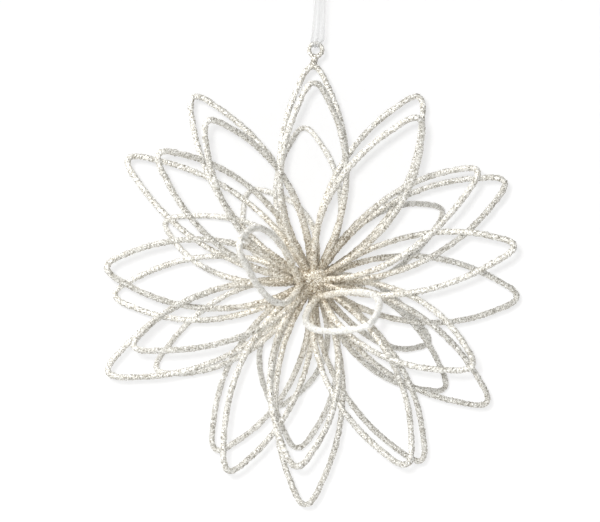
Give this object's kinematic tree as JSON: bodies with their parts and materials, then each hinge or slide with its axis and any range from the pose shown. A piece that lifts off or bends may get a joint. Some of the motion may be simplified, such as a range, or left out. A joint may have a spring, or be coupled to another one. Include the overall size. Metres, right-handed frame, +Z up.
{
  "type": "hanging starburst ornament",
  "caption": "Hanging starburst ornament: pointed loops of glitter-coated wire radiate from a small hub, with a ring eye and a looped sheer ribbon that lets the star swing, tip and spin.",
  "frame": {"origin": "centre of the ribbon knot's flat underside, where a hook carries the ornament", "axes": "+Z up, -Y the side the star faces, +X to the right of someone who looks at its face"},
  "size_m": [0.1913, 0.1864, 0.3001],
  "materials": {
    "glitter": "coarse champagne-silver glitter over bent wire, sparkling, rough",
    "ribbon": "sheer white organza with a soft sheen"
  },
  "bodies": {
    "ribbon_top": {"ribbon_knot": "ribbon"},
    "ribbon_strands": {"ribbon_front_strand": "ribbon", "ribbon_back_strand": "ribbon"},
    "ribbon_bight": {"ribbon_bight": "ribbon"},
    "star": {"back_petal_01": "glitter", "back_petal_02": "glitter", "back_petal_03": "glitter", "back_petal_04": "glitter", "back_petal_05": "glitter", "back_petal_06": "glitter", "deep_petal_01": "glitter", "deep_petal_02": "glitter", "deep_petal_03": "glitter", "face_petal_01": "glitter", "face_petal_02": "glitter", "flat_petal_01": "glitter", "flat_petal_02": "glitter", "flat_petal_03": "glitter", "flat_petal_04": "glitter", "flat_petal_05": "glitter", "flat_petal_06": "glitter", "flat_petal_07": "glitter", "flat_petal_08": "glitter", "flat_petal_09": "glitter", "flat_petal_10": "glitter", "flat_petal_11": "glitter", "flat_petal_12": "glitter", "front_petal_01": "glitter", "front_petal_02": "glitter", "front_petal_03": "glitter", "front_petal_04": "glitter", "front_petal_05": "glitter", "front_petal_06": "glitter", "front_petal_07": "glitter", "front_petal_08": "glitter", "front_petal_09": "glitter", "front_petal_10": "glitter", "front_petal_11": "glitter", "front_petal_12": "glitter", "hanging_eye": "glitter", "hub": "glitter"}
  },
  "joints": [
    {"name": "ribbon_twist", "type": "hinge", "parent": "ribbon_top", "child": "ribbon_strands", "pos_m": [0, 0, 0], "axis": [0.061, 0, 0.9981], "range_deg": [-180, 180]},
    {"name": "star_tip", "type": "hinge", "parent": "ribbon_strands", "child": "ribbon_bight", "pos_m": [-0.00439, 0, -0.07187], "axis": [1, 0, 0], "range_deg": [-75, 75]},
    {"name": "star_swing", "type": "hinge", "parent": "ribbon_bight", "child": "star", "pos_m": [-0.00439, 0, -0.07487], "axis": [0, 1, 0], "range_deg": [-75, 75]}
  ]
}
